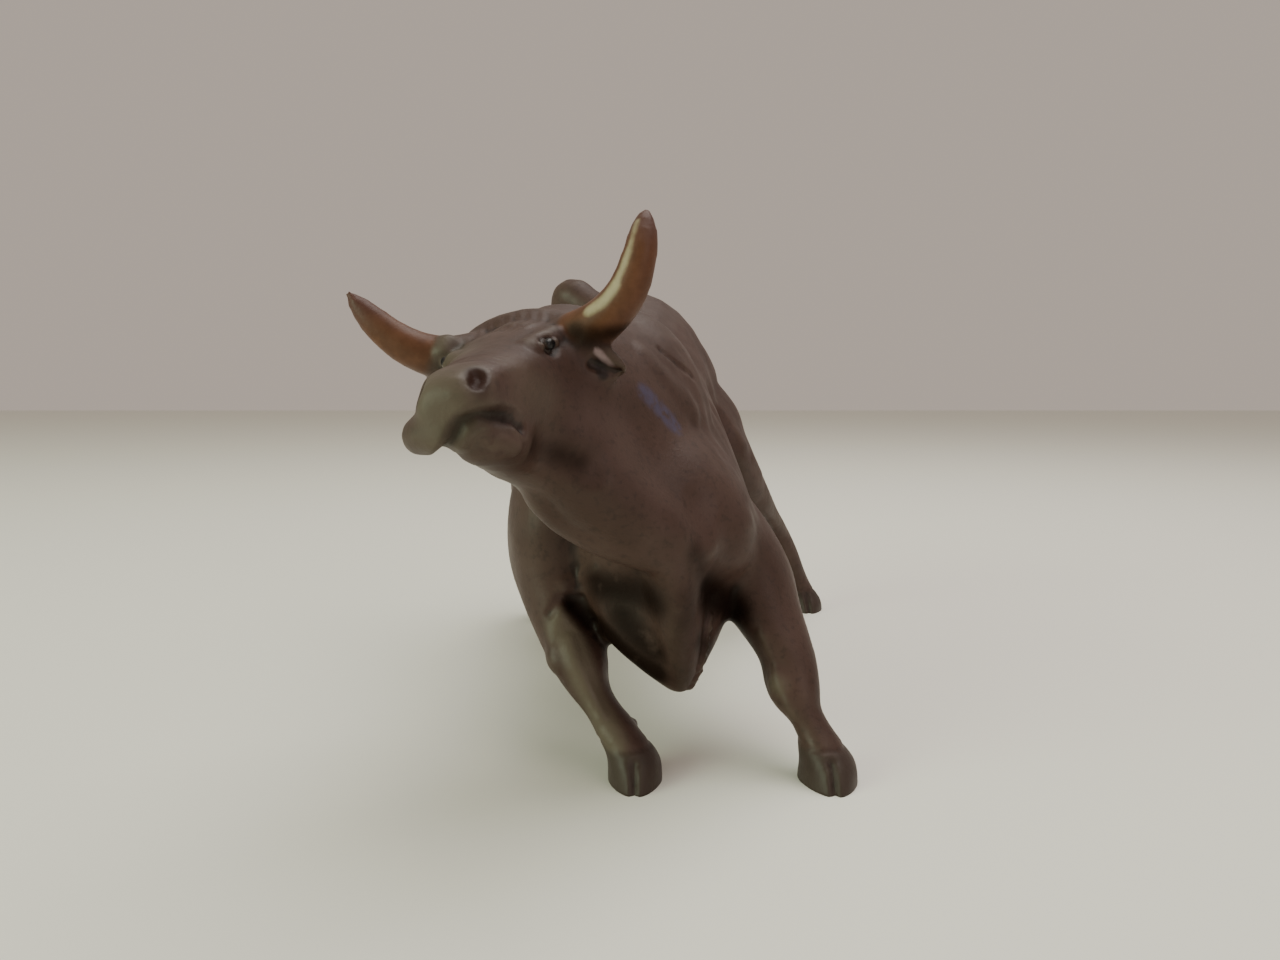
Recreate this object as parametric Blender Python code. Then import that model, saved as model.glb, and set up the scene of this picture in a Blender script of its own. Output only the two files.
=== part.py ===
"""Bull figurine: one moulded plastic animal, striding with its head turned to its right.

Frame: +Z up, the head towards -Y, the bull's own left side towards +X, soles on z = 0,
origin under the middle of the bounding box.
"""
import bmesh
import bpy
import numpy as np
from mathutils import Vector

for item in list(bpy.data.objects):
    bpy.data.objects.remove(item, do_unlink=True)

# Overall sizes of the figure, over horns, hooves and tail.
FIGURE_WIDTH = 0.0978
FIGURE_LENGTH = 0.1609
FIGURE_HEIGHT = 0.0940

# All below is laid out in steps of about a millimetre, 80 of them from sole to withers,
# and brought to the overall sizes at the end.

# Surface: cell of the skin drawn over the muscle masses, and the facets that are kept.
SKIN_CELL = 0.9
SMOOTH_ROUNDS = 4
CHEST_ROUNDS = 60
KEPT_TRIANGLES = 9300
RING_SIDES = 28

# Lean of the neck to the bull's right, as the rise of its cross axis for each step sideways.
NECK_LEAN = 0.38

# Head: where the poll sits, which way the head looks and how it is rolled.
POLL = Vector((-20.0, -49.0, 77.5))
HEAD_FORWARD = Vector((-0.16, -0.978, -0.13)).normalized()
HEAD_LEFT = Vector((0.965, -0.183, 0.186)).normalized()
HEAD_LENGTH = 38.0
HEAD_HALF_WIDTH = 10.5
NOSE_HALF_WIDTH = 5.2
LIP_HALF_WIDTH = 7.2
EYE_FORWARD = 12.8
EYE_SIDE = 8.8
EYE_DROP = 5.0
EYE_RADIUS = 1.4
MOUTH_RADIUS = 1.7
MOUTH_DEPTH = 1.1
NOSTRIL_RADIUS = 1.5
NOSTRIL_DEPTH = 1.1
EAR_LENGTH = 9.5
EAR_HALF_WIDTH = 2.6
EAR_HALF_THICKNESS = 1.2

# Horns: each reaches sideways and rises by this much from its root.
HORN_ROOT_RADIUS = 3.4
HORN_TIP_RADIUS = 0.7
RIGHT_HORN_REACH = 20.0
RIGHT_HORN_RISE = 10.0
LEFT_HORN_REACH = 12.0
LEFT_HORN_RISE = 19.5

# Tail.
TAIL_RADIUS = 2.5
TUFT_RADIUS = 3.4

# Cleft of the hooves.
CLEFT_RADIUS = 1.1
CLEFT_DEPTH = 0.9

SIDEWAYS = Vector((1.0, 0.0, 0.0))
BACKWARD = Vector((0.0, 1.0, 0.0))
DOWNWARD = Vector((0.0, 0.0, -1.0))
UPWARD = Vector((0.0, 0.0, 1.0))

HIDE_COLOUR = (0.085, 0.055, 0.045, 1.0)


def head_point(forward, left, up):
    """A place in the head, from the poll: along the face, to its left and up."""
    head_up = HEAD_FORWARD.cross(HEAD_LEFT)
    if head_up.z < 0:
        head_up = -head_up
    return POLL + HEAD_FORWARD * forward + HEAD_LEFT * left + head_up * up


def rounded(value, roundness):
    """The value of a sine, pushed outwards for a boxier ring where roundness is under one."""
    return np.copysign(abs(value) ** roundness, value)


def ring_points(centre, along, side, half_width, half_depth, pear, roundness):
    """One oval ring across the direction 'along'; pear narrows its top and widens its bottom."""
    along = along.normalized()
    across = (side - along * side.dot(along)).normalized()
    up = across.cross(along).normalized()
    ring = []
    sides = int(RING_SIDES)
    for number in range(sides):
        turn = 2 * np.pi * number / sides
        high = rounded(np.sin(turn), roundness)
        wide = half_width * rounded(np.cos(turn), roundness) * (1 - pear * high)
        ring.append(centre + across * wide + up * (half_depth * high))
    return ring


def eased(stations):
    """The stations with three more between each pair, on a smooth curve through them."""
    rows = np.array([(*row, 0, 0)[:7] for row in stations], dtype=float)
    padded = np.vstack([2 * rows[0] - rows[1], rows, 2 * rows[-1] - rows[-2]])
    smooth_rows = []
    for number in range(1, len(padded) - 2):
        first, second, third, fourth = padded[number - 1:number + 3]
        for share in (0, 0.25, 0.5, 0.75):
            row = 0.5 * (
                2 * second
                + (third - first) * share
                + (2 * first - 5 * second + 4 * third - fourth) * share ** 2
                + (3 * second - first - 3 * third + fourth) * share ** 3
            )
            smooth_rows.append(row)
    smooth_rows.append(rows[-1])
    return smooth_rows


def limb(mesh, stations, side=None, along=None, roundness=1.0):
    """A closed tube through stations of (x, y, z, half width, half depth, lean, pear).

    The rings stand across the path, or across 'along' where that is given.
    """
    rows = eased(stations)
    centres = [Vector(row[:3]) for row in rows]
    rings = []
    for number, row in enumerate(rows):
        before = centres[max(number - 1, 0)]
        after = centres[min(number + 1, len(centres) - 1)]
        heading = along or after - before
        across = side or Vector((1.0, 0.0, row[5]))
        half_sizes = (max(row[3], 0.2), max(row[4], 0.2))
        ring = ring_points(centres[number], heading, across, *half_sizes, row[6], roundness)
        rings.append([mesh.verts.new(point) for point in ring])
    for lower, upper in zip(rings, rings[1:]):
        for number in range(len(lower)):
            follower = (number + 1) % len(lower)
            mesh.faces.new((lower[number], lower[follower], upper[follower], upper[number]))
    mesh.faces.new(list(reversed(rings[0])))
    mesh.faces.new(rings[-1])


def round_limb(mesh, stations, side=None):
    """A closed round tube through stations of (x, y, z, radius)."""
    limb(mesh, [(x, y, z, radius, radius) for x, y, z, radius in stations], side)


def trunk(mesh):
    """Chest, barrel, loin and croup; the front leans further over than the rest."""
    limb(
        mesh,
        [
            (5.5, -53, 45, 5, 7, 0.3, 0.1),
            (5, -50, 45, 10, 12, 0.33, 0.2),
            (3.5, -44, 45.5, 14, 17.5, 0.38, 0.35),
            (0.5, -36, 47.5, 16.5, 25, 0.36, 0.4),
            (-1.5, -22, 51, 19, 28.5, 0.28, 0.25),
            (-3, -5, 51, 21.5, 28, 0.2, 0.12),
            (-3, 14, 52.5, 21.5, 27, 0.14, 0.06),
            (-2.5, 30, 57.5, 21.5, 27.5, 0.08, 0),
            (-2.5, 43, 61, 22, 28, 0.06, 0),
            (-3, 54, 62.5, 20.5, 25, 0.06, 0),
            (-4, 62, 63, 14, 17, 0.06, 0),
            (-4.5, 66, 63.5, 5, 7, 0.06, 0),
        ],
        along=BACKWARD,
    )


def neck(mesh):
    """The thick neck, bent to the bull's right, and the fold of skin below it."""
    limb(
        mesh,
        [
            (-1.5, -12, 52.5, 15.5, 23, NECK_LEAN, 0.2),
            (-2.5, -28, 57, 16.5, 25, NECK_LEAN, 0.2),
            (-6.5, -38, 60, 14.5, 22, NECK_LEAN, 0.15),
            (-11.5, -46, 63.5, 12.5, 18, NECK_LEAN, 0.1),
            (-15.5, -53, 65, 10.5, 13, NECK_LEAN, 0),
            (-19, -59, 66.5, 8.5, 10, NECK_LEAN, 0),
        ],
    )
    throat = [
        (-15.5, -52, 71, 7, 8),
        (-14.8, -53, 66, 9.5, 11),
        (-13, -53.5, 60, 10.4, 13),
        (-10.8, -53.4, 55, 11.2, 13),
        (-7.6, -52.4, 50.5, 12.2, 13),
        (-3.4, -51, 46, 12.6, 12.4),
        (0.8, -49.6, 42.2, 12.2, 11.8),
        (3.8, -48.4, 39.4, 10.6, 10.8),
        (5.4, -47.4, 37.4, 8, 9),
    ]
    limb(mesh, throat, along=DOWNWARD)


def brisket(mesh):
    """The chest hanging in a V between the forelegs, with a narrow keel down its front."""
    chest = [
        (3, -35, 44, 15.5, 13),
        (3, -36, 34, 14.4, 13),
        (3.4, -38.2, 27.5, 12.6, 12),
        (4, -41, 22.5, 9.8, 10),
        (5.4, -44, 18.2, 5.6, 7),
        (6.8, -46, 14.6, 1.5, 3),
    ]
    keel = [
        (4.6, -48, 43, 7, 10),
        (5.6, -48, 36, 5.6, 9.5),
        (6.1, -48, 29, 4.6, 8.5),
        (6.5, -47.6, 23, 3.8, 7),
        (6.8, -47, 18, 2.8, 5),
        (6.9, -46.6, 15, 1.6, 3),
    ]
    for stations in (chest, keel):
        limb(mesh, stations, along=DOWNWARD)


def forelegs(mesh):
    """Shoulder, forearm, knee, cannon, fetlock and hoof on each side, in level slices."""
    limb(
        mesh,
        [
            (-10, -29, 66, 7, 11),
            (-12.5, -30, 54, 9, 14),
            (-15, -30, 43, 9, 14),
            (-15.6, -31, 34, 8, 12),
            (-13.8, -35, 27, 7, 9),
            (-12.6, -38, 23, 6, 7.4),
            (-10.8, -41, 19, 5.4, 6.4),
            (-10, -42.2, 16.5, 4.7, 5.6),
            (-8.8, -43.6, 14, 3.9, 4.7),
            (-6.8, -45, 11.5, 3.5, 4.1),
            (-4.7, -46.5, 9.3, 3.7, 4.2),
            (-3.2, -47.5, 7, 4, 4.5),
            (-1.6, -48.5, 5, 4.3, 5, 0, -0.1),
            (-0.8, -49.4, 3, 4.5, 5.8, 0, -0.22),
            (-0.7, -50.2, 0, 4.5, 6.6, 0, -0.3),
            (-0.7, -50.2, -2, 4.5, 6.6, 0, -0.3),
        ],
        along=DOWNWARD,
    )
    limb(
        mesh,
        [
            (-1, -29, 64, 7, 11),
            (5, -30, 54, 8, 13),
            (13.5, -30.5, 43, 8.6, 14),
            (19, -31, 34, 8.4, 12),
            (21.6, -35, 27, 7.3, 9),
            (23.7, -38, 23, 6.2, 7.6),
            (25.7, -40.5, 19, 5.2, 6.3),
            (26.3, -42, 16.5, 4.9, 5.8),
            (26.5, -43.5, 14, 4.8, 5.6),
            (27.1, -45, 11.5, 4, 4.7),
            (28.8, -46.5, 9.3, 3.3, 3.9),
            (30.2, -47.7, 7, 3.5, 4.3),
            (31, -48.7, 5, 4.2, 5, 0, -0.1),
            (31.8, -49.5, 3, 4.7, 5.9, 0, -0.22),
            (31.8, -50.2, 0, 4.9, 6.7, 0, -0.3),
            (31.8, -50.2, -2, 4.9, 6.7, 0, -0.3),
        ],
        along=DOWNWARD,
    )


def hind_legs(mesh):
    """Thigh, stifle, hock, cannon, fetlock and hoof on each side, reaching back."""
    limb(
        mesh,
        [
            (6, 44, 70, 9, 14),
            (13.5, 43, 60, 10, 18),
            (18.8, 42, 51, 9, 18),
            (23.2, 44, 43, 8.2, 15),
            (27.4, 48, 37, 7, 12),
            (31, 53, 32, 6, 9.5),
            (34.6, 59, 28, 5, 8),
            (38, 64, 23.5, 4.3, 6),
            (41.2, 66, 18, 3.8, 4.8),
            (43.8, 68, 12, 3.6, 4.4),
            (45.3, 69.5, 8, 4, 4.6),
            (47, 70, 5, 4.2, 5, 0, -0.1),
            (48.2, 69.6, 2.5, 4.6, 5.8, 0, -0.2),
            (48.4, 69, 0, 4.6, 6.4, 0, -0.3),
            (48.4, 69, -2, 4.6, 6.4, 0, -0.3),
        ],
        along=DOWNWARD,
    )
    limb(
        mesh,
        [
            (-11, 44, 69, 9, 14),
            (-18, 43, 59, 10, 18),
            (-22, 41, 50, 9.2, 18),
            (-24.6, 41, 42, 8.2, 15),
            (-26, 44, 36, 7, 12),
            (-26.8, 50, 31, 6, 9.5),
            (-27.2, 56, 27, 5, 8),
            (-27.4, 60, 22.5, 4.3, 6),
            (-27, 61, 17, 3.8, 4.8),
            (-26.5, 61, 11.5, 3.6, 4.4),
            (-26, 60, 8, 4, 4.6),
            (-25.5, 58.6, 5, 4.2, 5, 0, -0.1),
            (-25, 57, 2.5, 4.6, 5.8, 0, -0.2),
            (-25, 56, 0, 4.6, 6.4, 0, -0.3),
            (-25, 56, -2, 4.6, 6.4, 0, -0.3),
        ],
        along=DOWNWARD,
    )


def tail(mesh):
    """The tail rises from the croup in a thick knob and falls down the back of the right thigh."""
    round_limb(
        mesh,
        [
            (-4.5, 52, 80, 5),
            (-9.5, 58, 83.5, 5),
            (-14.5, 62.5, 86.6, 5),
            (-18.6, 65, 89, 5.4),
            (-20.6, 66.2, 85.5, 4.2),
            (-21.8, 65.5, 78, TAIL_RADIUS + 0.6),
            (-23, 62.5, 70, TAIL_RADIUS),
            (-22.5, 59.5, 60, TUFT_RADIUS - 0.4),
            (-22, 57.5, 51, TUFT_RADIUS),
            (-22.5, 56, 43, 1.4),
        ],
        SIDEWAYS,
    )


def head(mesh):
    """Skull, face, muzzle and lower jaw."""
    face = [
        (-6, 0, -12, 7, 7.5, 0),
        (0, 0, -11.6, HEAD_HALF_WIDTH - 1.2, 9, 0),
        (7, 0, -11.6, HEAD_HALF_WIDTH - 0.4, 9.8, 0),
        (13, 0, -11.8, HEAD_HALF_WIDTH - 1, 9.2, 0.04),
        (19, 0.3, -11.6, 8, 8.2, 0.1),
        (25, 0.6, -11, NOSE_HALF_WIDTH + 1.3, 7, 0.16),
        (30, 0.4, -10.2, NOSE_HALF_WIDTH + 0.5, 6, 0.18),
        (34, 0.2, -9.8, NOSE_HALF_WIDTH + 0.1, 5.2, 0.16),
        (36.8, 0, -9.8, NOSE_HALF_WIDTH - 0.9, 4, 0.1),
        (HEAD_LENGTH, 0, -9.8, 2.8, 2.4, 0),
    ]
    jaw = [
        (1, 0, -18.6, 7.8, 7.2, 0),
        (7, 0, -19.2, 7.4, 6.6, 0),
        (13, 0.2, -18.8, 6.7, 5.8, 0),
        (20, 0.8, -17.2, 5.6, 4.7, 0),
        (27, 1.6, -15.6, 4.8, 3.8, 0),
        (31.5, 1.9, -14.6, 4.3, 3.4, 0),
        (34.2, 2, -14, 2.8, 2.2, 0),
    ]
    for stations in (face, jaw):
        placed = [(*head_point(*row[:3]), row[3], row[4], 0, row[5]) for row in stations]
        limb(mesh, placed, HEAD_LEFT, roundness=0.8)
    lip = [
        (25, -6.6, -14, 1.8),
        (30, -LIP_HALF_WIDTH, -13, 2.5),
        (33.8, -5, -12.4, 2.8),
        (36, -0.6, -12.6, 2.5),
        (35, 2.6, -10.6, 1.9),
    ]
    round_limb(mesh, [(*head_point(*row[:3]), row[3]) for row in lip], UPWARD)
    poll = [
        (0.5, -8, -4.8, 3.4),
        (0, -4, -3.9, 4),
        (0, 0, -3.6, 4.2),
        (0, 4, -3.8, 4),
        (0.5, 8, -4.6, 3.4),
    ]
    round_limb(mesh, [(*head_point(*row[:3]), row[3]) for row in poll], UPWARD)


def ears(mesh):
    """Two leaf-shaped ears hanging below the horn roots, one on each side of the head."""
    for hand in (-1, 1):
        root = head_point(8, hand * 11, -6.5)
        tip = head_point(4 + 2.5 * hand, hand * 18, -13)
        reach = (tip - root).normalized() * EAR_LENGTH
        spread = HEAD_FORWARD.cross(reach).normalized()
        stations = []
        for share, width in ((0, 0.5), (0.25, 0.85), (0.55, 1.0), (0.8, 0.75), (1.0, 0.2)):
            place = root + reach * share
            stations.append((*place, EAR_HALF_WIDTH * width, EAR_HALF_THICKNESS))
        limb(mesh, stations, spread)


def horn_paths():
    """Stations of the right horn, which sweeps out and up, and of the left, steeper one.

    Each row is the share of the reach, the steps forward and the share of the rise.
    """
    right = [
        (0, 0, 0),
        (0.25, 3, -0.06),
        (0.475, 4, 0.05),
        (0.67, 4.5, 0.28),
        (0.85, 5, 0.62),
        (1, 5.5, 0.99),
    ]
    left = [
        (0, 0, 0),
        (0.42, 3.5, 0.13),
        (0.73, 6.4, 0.33),
        (0.89, 7, 0.59),
        (0.95, 6, 0.82),
        (0.99, 4.4, 1),
    ]
    thickness = [1.2, 1.05, 0.92, 0.76, 0.52, 0.0]
    plans = (
        (right, Vector((-24.7, -51, 71)), -RIGHT_HORN_REACH, RIGHT_HORN_RISE),
        (left, Vector((-10.7, -53, 73.5)), LEFT_HORN_REACH, LEFT_HORN_RISE),
    )
    paths = []
    for shape, root, reach, rise in plans:
        stations = []
        for (sideways, forward, upward), thick in zip(shape, thickness):
            place = root + Vector((reach * sideways, -forward, rise * upward))
            stations.append((*place, HORN_TIP_RADIUS + (HORN_ROOT_RADIUS - HORN_TIP_RADIUS) * thick))
        paths.append(stations)
    return paths


def horns(mesh):
    """Both horns."""
    for stations in horn_paths():
        round_limb(mesh, stations, BACKWARD)


def skin_over(source, name):
    """One closed skin drawn over the overlapping masses, then smoothed."""
    body = bpy.data.objects.new(name, source)
    bpy.context.collection.objects.link(body)
    remesh = body.modifiers.new("skin", "REMESH")
    remesh.mode = "VOXEL"
    remesh.voxel_size = SKIN_CELL
    smooth = body.modifiers.new("smooth", "SMOOTH")
    smooth.factor = 0.5
    smooth.iterations = int(SMOOTH_ROUNDS)
    view = bpy.context.evaluated_depsgraph_get()
    skin = bpy.data.meshes.new_from_object(body.evaluated_get(view))
    bpy.data.objects.remove(body, do_unlink=True)
    return skin


def subdivided(source):
    """The same skin with every facet in four, rounded."""
    body = bpy.data.objects.new("subdivided", source)
    bpy.context.collection.objects.link(body)
    finer = body.modifiers.new("finer", "SUBSURF")
    finer.levels = 1
    finer.render_levels = 1
    view = bpy.context.evaluated_depsgraph_get()
    skin = bpy.data.meshes.new_from_object(body.evaluated_get(view))
    bpy.data.objects.remove(body, do_unlink=True)
    return skin


def thinned(source, name):
    """The same skin with fewer facets."""
    body = bpy.data.objects.new(name, source)
    bpy.context.collection.objects.link(body)
    source.calc_loop_triangles()
    decimate = body.modifiers.new("facets", "DECIMATE")
    decimate.ratio = KEPT_TRIANGLES / len(source.loop_triangles)
    view = bpy.context.evaluated_depsgraph_get()
    skin = bpy.data.meshes.new_from_object(body.evaluated_get(view))
    bpy.data.objects.remove(body, do_unlink=True)
    return skin


def column(items, key):
    """One three-part value of every vertex as an array of rows."""
    values = np.empty(len(items) * 3)
    items.foreach_get(key, values)
    return values.reshape(-1, 3)


def nearness(places, path, radius):
    """One at the path, falling smoothly to nought at the radius."""
    points = [np.array(point, dtype=float) for point in path]
    nearest = np.linalg.norm(places - points[0], axis=1)
    for start, end in zip(points, points[1:]):
        line = end - start
        share = np.clip((places - start) @ line / max(line @ line, 1e-12), 0, 1)
        gap = np.linalg.norm(places - start - share[:, None] * line, axis=1)
        nearest = np.minimum(nearest, gap)
    return np.clip(1 - (nearest / radius) ** 2, 0, 1) ** 2


def laid_on(places, path):
    """The path in short stretches, with each point brought to the nearest place of the skin."""
    points = [np.array(point, dtype=float) for point in path]
    stretches = []
    for start, end in zip(points, points[1:]):
        stretches += [start + (end - start) * share for share in (0, 0.25, 0.5, 0.75)]
    stretches.append(points[-1])
    return [places[((places - point) ** 2).sum(axis=1).argmin()] for point in stretches]


def stroke(skin, path, radius, depth):
    """Press a groove (depth above nought) or raise a ridge along a path over the skin."""
    places = column(skin.vertices, "co")
    weight = nearness(places, laid_on(places, path), radius)
    places -= column(skin.vertices, "normal") * (depth * weight)[:, None]
    skin.vertices.foreach_set("co", places.ravel())
    skin.update()


def soften(skin, path, radius, rounds):
    """Even out the skin round a path, so that the masses under it run together."""
    places = column(skin.vertices, "co")
    pairs = np.empty(len(skin.edges) * 2, dtype=int)
    skin.edges.foreach_get("vertices", pairs)
    ends = np.concatenate((pairs[0::2], pairs[1::2]))
    others = np.concatenate((pairs[1::2], pairs[0::2]))
    neighbours = np.bincount(ends, minlength=len(places))
    weight = 0.6 * nearness(places, path, radius)
    for number in range(int(rounds)):
        for axis in range(3):
            total = np.bincount(ends, places[others, axis], len(places))
            places[:, axis] += (total / neighbours - places[:, axis]) * weight
    skin.vertices.foreach_set("co", places.ravel())
    skin.update()


def even_chest(skin):
    """Withers, neck, throat and shoulders run into each other without a step."""
    soften(skin, [(-17, -18, 66), (-3, -17, 79), (12, -18, 68)], 9, CHEST_ROUNDS / 2)
    soften(skin, [(-16, -60, 62), (-4, -58, 56), (8, -54, 50), (16, -46, 48)], 15, CHEST_ROUNDS)
    soften(skin, [(-20, -40, 56), (-18, -34, 44)], 10, CHEST_ROUNDS / 2)
    soften(skin, [(20, -44, 40), (16, -50, 34)], 9, CHEST_ROUNDS / 2)
    soften(skin, [(-8, -46, 33), (0, -52, 29)], 7, CHEST_ROUNDS / 2)


def carve_face(skin):
    """Mouth, nostrils, brows, eyes and eye sockets."""
    mouth = [
        head_point(28, 5.4, -14.6),
        head_point(29.6, 5.2, -13.2),
        head_point(32.3, 5, -12),
        head_point(36.6, 4, -10.9),
        head_point(38.5, 1.8, -11.4),
        head_point(38.6, 0.2, -13.6),
        head_point(36, -2.4, -15.6),
        head_point(31, -5.2, -15.8),
        head_point(25, -6.4, -15.8),
    ]
    stroke(skin, mouth, MOUTH_RADIUS, MOUTH_DEPTH)
    for hand in (-1, 1):
        nostril = [head_point(35.4, hand * 3.6, -7), head_point(34.4, hand * 4.6, -5.8)]
        stroke(skin, nostril, NOSTRIL_RADIUS, NOSTRIL_DEPTH)
        brow = [
            head_point(EYE_FORWARD - 4, hand * EYE_SIDE, -2.4),
            head_point(EYE_FORWARD + 3, hand * (EYE_SIDE - 1.4), -2.8),
        ]
        stroke(skin, brow, 2.4, -0.9)
        eye = [head_point(EYE_FORWARD, hand * EYE_SIDE, -EYE_DROP)]
        stroke(skin, eye, 2 * EYE_RADIUS, 0.9)
        stroke(skin, eye, EYE_RADIUS, -1.1)


def carve_hooves(skin):
    """A cleft up the front of each hoof."""
    for toe_x, toe_y in ((-0.8, -57), (31.6, -57), (48.4, 62), (-25, 49)):
        stroke(skin, [(toe_x, toe_y, 0), (toe_x, toe_y + 2, 6)], CLEFT_RADIUS, CLEFT_DEPTH)


def level_soles(mesh):
    """Cut every hoof level with the ground and close the cut."""
    everything = mesh.verts[:] + mesh.edges[:] + mesh.faces[:]
    bmesh.ops.bisect_plane(mesh, geom=everything, plane_co=(0, 0, 0), plane_no=(0, 0, 1), clear_inner=True)
    rim = [edge for edge in mesh.edges if edge.is_boundary]
    bmesh.ops.holes_fill(mesh, edges=rim)
    bmesh.ops.dissolve_degenerate(mesh, dist=0.001, edges=mesh.edges[:])
    bmesh.ops.triangulate(mesh, faces=mesh.faces[:])
    bmesh.ops.recalc_face_normals(mesh, faces=mesh.faces[:])


def centred(mesh):
    """Bring the figure to its overall sizes, with the origin under its middle."""
    places = column(mesh.vertices, "co")
    low = places.min(axis=0)
    high = places.max(axis=0)
    middle = (low + high) / 2
    middle[2] = low[2]
    wanted = np.array((FIGURE_WIDTH, FIGURE_LENGTH, FIGURE_HEIGHT))
    places = (places - middle) * wanted / (high - low)
    mesh.vertices.foreach_set("co", places.ravel())
    mesh.update()


def hide_material():
    """Satin brown plastic."""
    material = bpy.data.materials.new("brown_plastic")
    material.use_nodes = True
    shader = material.node_tree.nodes["Principled BSDF"]
    shader.inputs["Base Color"].default_value = HIDE_COLOUR
    shader.inputs["Roughness"].default_value = 0.5
    return material


def make_bull():
    """The whole animal in one piece."""
    masses = bmesh.new()
    trunk(masses)
    neck(masses)
    brisket(masses)
    forelegs(masses)
    hind_legs(masses)
    tail(masses)
    head(masses)
    ears(masses)
    horns(masses)
    bmesh.ops.recalc_face_normals(masses, faces=masses.faces[:])
    block = bpy.data.meshes.new("block")
    masses.to_mesh(block)
    masses.free()
    skin = skin_over(block, "skin")
    even_chest(skin)
    skin = subdivided(skin)
    carve_face(skin)
    carve_hooves(skin)
    skin = thinned(skin, "thinned")
    finished = bmesh.new()
    finished.from_mesh(skin)
    level_soles(finished)
    mesh = bpy.data.meshes.new("bull")
    finished.to_mesh(mesh)
    finished.free()
    centred(mesh)
    mesh.materials.append(hide_material())
    bull = bpy.data.objects.new("bull", mesh)
    bpy.context.collection.objects.link(bull)


make_bull()
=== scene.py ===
"""Looks of the bull figurine: moulded brown plastic with painted horns, eyes and hooves.

The skin is grown from the same masses as the solid, then subdivided and carved finely.
Lengths are in steps of about a millimetre, as in the solid, until the figure is brought
to its overall sizes. Head towards -Y, the bull's own left side towards +X.
"""

from math import radians

import bmesh
import bpy
import numpy as np
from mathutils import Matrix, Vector


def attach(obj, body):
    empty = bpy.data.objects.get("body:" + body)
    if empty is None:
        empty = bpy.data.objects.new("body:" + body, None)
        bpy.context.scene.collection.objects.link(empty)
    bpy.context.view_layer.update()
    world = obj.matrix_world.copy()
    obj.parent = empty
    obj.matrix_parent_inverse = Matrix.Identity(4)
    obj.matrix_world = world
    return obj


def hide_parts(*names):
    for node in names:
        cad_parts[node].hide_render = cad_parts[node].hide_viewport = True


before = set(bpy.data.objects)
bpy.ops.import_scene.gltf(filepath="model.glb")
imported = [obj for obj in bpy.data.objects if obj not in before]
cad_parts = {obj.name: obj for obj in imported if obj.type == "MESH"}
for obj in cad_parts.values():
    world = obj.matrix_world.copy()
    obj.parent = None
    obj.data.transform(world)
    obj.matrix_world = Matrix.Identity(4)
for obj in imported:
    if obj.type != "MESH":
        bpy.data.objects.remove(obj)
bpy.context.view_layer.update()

# Overall sizes of the figure, over horns, hooves and tail.
FIGURE_WIDTH = 0.0978
FIGURE_LENGTH = 0.1609
FIGURE_HEIGHT = 0.0940

# The animal is laid out in steps of about a millimetre, 80 of them from sole to withers,
# and brought to the overall sizes at the end.

# Surface: cell of the skin drawn over the muscle masses, rounds of smoothing, sides of a ring.
SKIN_CELL = 0.9
SMOOTH_ROUNDS = 4
CHEST_ROUNDS = 60
RING_SIDES = 28

# Lean of the neck to the bull's right, as the rise of its cross axis for each step sideways.
NECK_LEAN = 0.38

# Head: where the poll sits, which way the head looks and how it is rolled.
POLL = Vector((-20.0, -49.0, 77.5))
HEAD_FORWARD = Vector((-0.16, -0.978, -0.13)).normalized()
HEAD_LEFT = Vector((0.965, -0.183, 0.186)).normalized()
HEAD_LENGTH = 38.0
HEAD_HALF_WIDTH = 10.5
NOSE_HALF_WIDTH = 5.2
LIP_HALF_WIDTH = 7.2
EYE_FORWARD = 12.8
EYE_SIDE = 8.8
EYE_DROP = 5.0
EYE_RADIUS = 1.4
MOUTH_RADIUS = 1.7
MOUTH_DEPTH = 1.1
NOSTRIL_RADIUS = 1.5
NOSTRIL_DEPTH = 1.1
EAR_LENGTH = 9.5
EAR_HALF_WIDTH = 2.6
EAR_HALF_THICKNESS = 1.2

# Horns: each reaches sideways and rises by this much from its root.
HORN_ROOT_RADIUS = 3.4
HORN_TIP_RADIUS = 0.7
RIGHT_HORN_REACH = 20.0
RIGHT_HORN_RISE = 10.0
LEFT_HORN_REACH = 12.0
LEFT_HORN_RISE = 19.5

# Tail.
TAIL_RADIUS = 2.5
TUFT_RADIUS = 3.4

# Cleft of the hooves.
CLEFT_RADIUS = 1.1
CLEFT_DEPTH = 0.9

SIDEWAYS = Vector((1.0, 0.0, 0.0))
BACKWARD = Vector((0.0, 1.0, 0.0))
DOWNWARD = Vector((0.0, 0.0, -1.0))
UPWARD = Vector((0.0, 0.0, 1.0))

# Fine skin: facets kept, and how far round the head the skin is subdivided once more.
FINE_TRIANGLES = 196000
HEAD_MIDDLE = (18, 0, -11)
HEAD_REACH = 26.0

# Level of the rim between each hoof and the leg.
HOOF_HEIGHT = 6.4

# Nostril on the left of the head: steps along the face, to the left and up.
NOSTRIL = [(35.2, 3.4, -8.2), (34.7, 4, -6.8), (34.3, 4.3, -5.6)]

# Reach of the paint masks round the horns.
HORN_BRUSH = 5.4
TIP_BRUSH = 11.0

# Camera and floor, in metres, with the tilt in degrees and the lens in millimetres.
CAMERA_PLACE = (-0.0042, -0.19987, 0.068)
CAMERA_TILT = 6.3
CAMERA_LENS = 27.03
CAMERA_SENSOR = 36
CAMERA_NEAR = 0.01
FLOOR_HALF = 1.6

# Soft boxes, in metres and watts: name, place, width, power and colour.
LAMPS = (
    ("overhead", (0.15, 0.1, 0.7), 0.6, 5.0, (1.0, 0.96, 0.92)),
    ("window", (-1.1, -0.68, 0.42), 0.8, 14.5, (0.80, 1.0, 0.72)),
    ("fill", (0.9, -0.9, 0.55), 0.8, 3.6, (1.0, 0.82, 0.8)),
)
LAMP_AIM = (0, 0, 0.045)
SKY_STRENGTH = 0.75

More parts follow.
